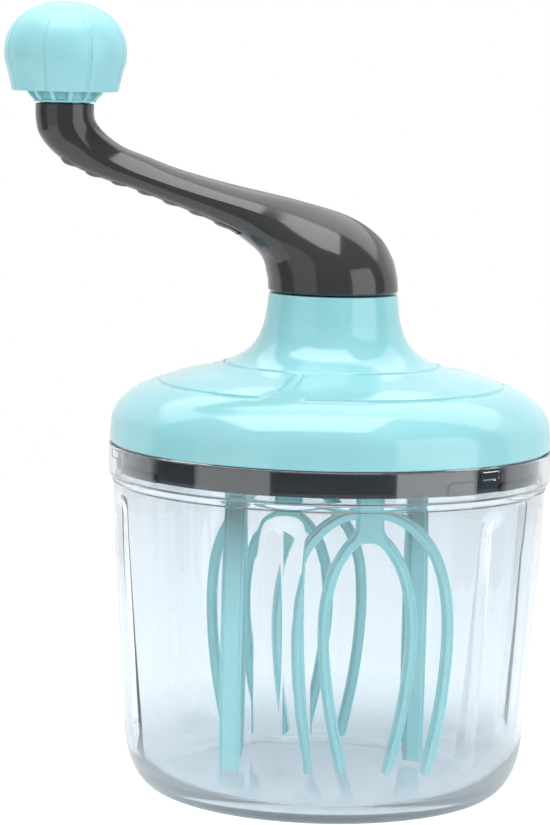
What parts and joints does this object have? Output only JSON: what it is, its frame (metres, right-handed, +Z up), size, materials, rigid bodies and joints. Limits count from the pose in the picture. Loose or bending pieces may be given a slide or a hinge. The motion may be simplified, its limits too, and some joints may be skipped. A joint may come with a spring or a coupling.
{
  "type": "egg beater",
  "caption": "Hand-crank mixer: clear bowl, geared bayonet lid, raised crank with a ball knob, and flat forked whisks that orbit and spin.",
  "frame": {"origin": "centre of the bowl's flat underside, on the crank's axis", "axes": "+Z up along the bowl and crank axis; the crank arm points along -X at rest; +Y away from the viewer who sees the crank on the left"},
  "size_m": [0.208, 0.1664, 0.2949],
  "materials": {
    "clear_bowl": "clear glossy moulded plastic",
    "mint_plastic": "glossy",
    "whisk_plastic": "satin",
    "dark_grey_plastic": "glossy",
    "gear_nylon": "matte",
    "steel": "satin",
    "silicone": "matte"
  },
  "bodies": {
    "bowl": {"bowl": "clear_bowl"},
    "seal": {"lid_seal": "silicone"},
    "lid": {"lid_cover": "mint_plastic", "lid_skirt": "dark_grey_plastic", "ring_gear": "gear_nylon", "neck_bushing": "gear_nylon", "lid_screw_1": "steel", "lid_screw_2": "steel", "lid_screw_3": "steel", "lid_screw_4": "steel"},
    "crank": {"crank_arm": "dark_grey_plastic", "crank_arm_cover": "dark_grey_plastic", "crank_shaft": "steel", "carrier_plate": "gear_nylon", "carrier_cover": "dark_grey_plastic", "carrier_screw_1": "steel", "carrier_screw_2": "steel", "carrier_screw_3": "steel", "carrier_screw_4": "steel", "shaft_bolt": "steel", "shaft_washer": "steel", "thrust_washer": "steel", "knob_pin": "steel", "knob_washer": "steel"},
    "knob": {"knob_cap": "mint_plastic", "knob_core": "mint_plastic"},
    "whisk_1": {"planet_gear_1": "gear_nylon", "whisk_1": "whisk_plastic"},
    "whisk_2": {"planet_gear_2": "gear_nylon", "whisk_2": "whisk_plastic"},
    "whisk_3": {"planet_gear_3": "gear_nylon", "whisk_3": "whisk_plastic"},
    "whisk_4": {"planet_gear_4": "gear_nylon", "whisk_4": "whisk_plastic"}
  },
  "joints": [
    {"name": "lid_lift", "type": "slide", "parent": "bowl", "child": "seal", "axis": [0, 0, 1], "range_m": [0, 0.15]},
    {"name": "lid_turn", "type": "hinge", "parent": "seal", "child": "lid", "pos_m": [0, 0, 0.125], "axis": [0, 0, 1], "range_deg": [-20, 0]},
    {"name": "crank_turn", "type": "hinge", "parent": "lid", "child": "crank", "pos_m": [0, 0, 0.18], "axis": [0, 0, 1], "continuous": true},
    {"name": "knob_spin", "type": "hinge", "parent": "crank", "child": "knob", "pos_m": [-0.1019, 0, 0.27], "axis": [0, 0, 1], "continuous": true},
    {"name": "whisk_1_spin", "type": "hinge", "parent": "crank", "child": "whisk_1", "pos_m": [0.01549, -0.03415, 0.13], "axis": [0, 0, 1], "continuous": true},
    {"name": "whisk_2_spin", "type": "hinge", "parent": "crank", "child": "whisk_2", "pos_m": [0.03415, 0.01549, 0.13], "axis": [0, 0, 1], "continuous": true},
    {"name": "whisk_3_spin", "type": "hinge", "parent": "crank", "child": "whisk_3", "pos_m": [-0.01549, 0.03415, 0.13], "axis": [0, 0, 1], "continuous": true},
    {"name": "whisk_4_spin", "type": "hinge", "parent": "crank", "child": "whisk_4", "pos_m": [-0.03415, -0.01549, 0.13], "axis": [0, 0, 1], "continuous": true}
  ],
  "couplings": [
    {"joint": "whisk_1_spin", "follows": "crank_turn", "ratio": -3.7778},
    {"joint": "whisk_2_spin", "follows": "crank_turn", "ratio": -3.7778},
    {"joint": "whisk_3_spin", "follows": "crank_turn", "ratio": -3.7778},
    {"joint": "whisk_4_spin", "follows": "crank_turn", "ratio": -3.7778}
  ]
}
